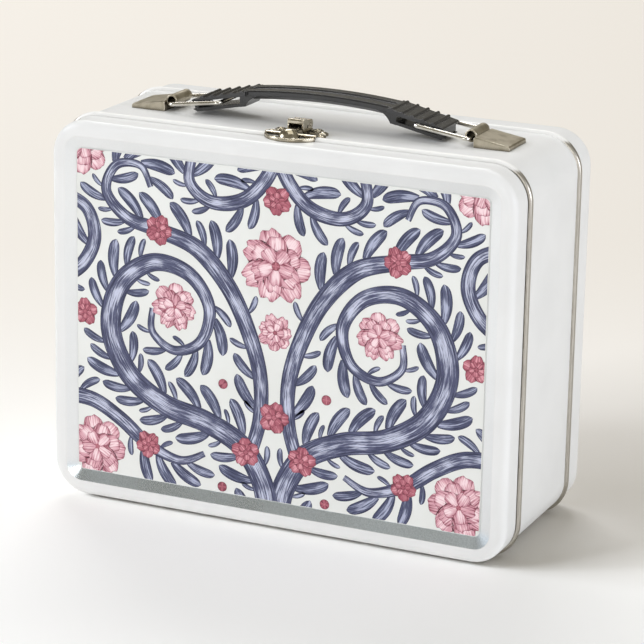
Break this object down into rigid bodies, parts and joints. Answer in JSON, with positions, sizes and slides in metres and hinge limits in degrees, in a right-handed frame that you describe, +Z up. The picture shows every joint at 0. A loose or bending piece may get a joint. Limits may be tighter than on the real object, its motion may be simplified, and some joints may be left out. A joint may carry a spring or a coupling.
{
  "type": "metal lunch box",
  "caption": "Tin carry case with a hinged front cover, snap latch on top and a folding wire-bail handle; it holds a packed meal.",
  "frame": {"origin": "centre of the base, level with the undersides of the two rolled beads that the box stands on", "axes": "+X to the right seen from the front, +Y from the hinged front cover to the rear cover, +Z up"},
  "size_m": [0.223, 0.0948, 0.1904],
  "materials": {
    "white_enamel": "semi-gloss white powder coat on tin",
    "bare_tin": "satin bare tin",
    "printed_sheet": "semi-gloss printed sheet",
    "nickel_plate": "warm nickel plate",
    "bright_wire": "bright plated wire",
    "black_plastic": "moulded black plastic, satin to gloss"
  },
  "bodies": {
    "case": {"body_band": "white_enamel", "front_rim": "bare_tin", "rear_rim": "bare_tin", "rear_cover": "white_enamel", "left_hinge_body_leaf": "nickel_plate", "right_hinge_body_leaf": "nickel_plate", "left_hinge_pin": "nickel_plate", "right_hinge_pin": "nickel_plate", "hinge_body_rivets": "nickel_plate", "left_bracket": "nickel_plate", "right_bracket": "nickel_plate", "latch_body_plate": "nickel_plate", "latch_pin": "nickel_plate", "latch_body_rivets": "nickel_plate"},
    "cover": {"front_cover": "white_enamel", "front_insert": "printed_sheet", "left_hinge_cover_leaf": "nickel_plate", "right_hinge_cover_leaf": "nickel_plate", "hinge_cover_rivets": "nickel_plate", "latch_keeper_plate": "nickel_plate", "latch_cover_rivets": "nickel_plate"},
    "clasp": {"latch_clasp": "nickel_plate"},
    "grip": {"handle_grip": "black_plastic"},
    "bail_left": {"left_bail": "bright_wire"},
    "bail_right": {"right_bail": "bright_wire"}
  },
  "joints": [
    {"name": "cover_hinge", "type": "hinge", "parent": "case", "child": "cover", "pos_m": [0, -0.0339, 0.00155], "axis": [1, 0, 0], "range_deg": [0, 90]},
    {"name": "clasp_pivot", "type": "hinge", "parent": "case", "child": "clasp", "pos_m": [0, -0.0202, 0.1796], "axis": [-1, 0, 0], "range_deg": [0, 105]},
    {"name": "handle_lift", "type": "slide", "parent": "case", "child": "grip", "axis": [0, 0, 1], "range_m": [0, 0.016]},
    {"name": "left_bail_swing", "type": "hinge", "parent": "case", "child": "bail_left", "pos_m": [-0.0698, -0.00155, 0.17895], "axis": [0, -1, 0], "range_deg": [0, 35.4]},
    {"name": "right_bail_swing", "type": "hinge", "parent": "case", "child": "bail_right", "pos_m": [0.0738, -0.00155, 0.17895], "axis": [0, 1, 0], "range_deg": [0, 35.4]}
  ],
  "couplings": [
    {"joint": "left_bail_swing", "follows": "handle_lift", "rad_per_m": 38.6},
    {"joint": "right_bail_swing", "follows": "handle_lift", "rad_per_m": 38.6}
  ]
}
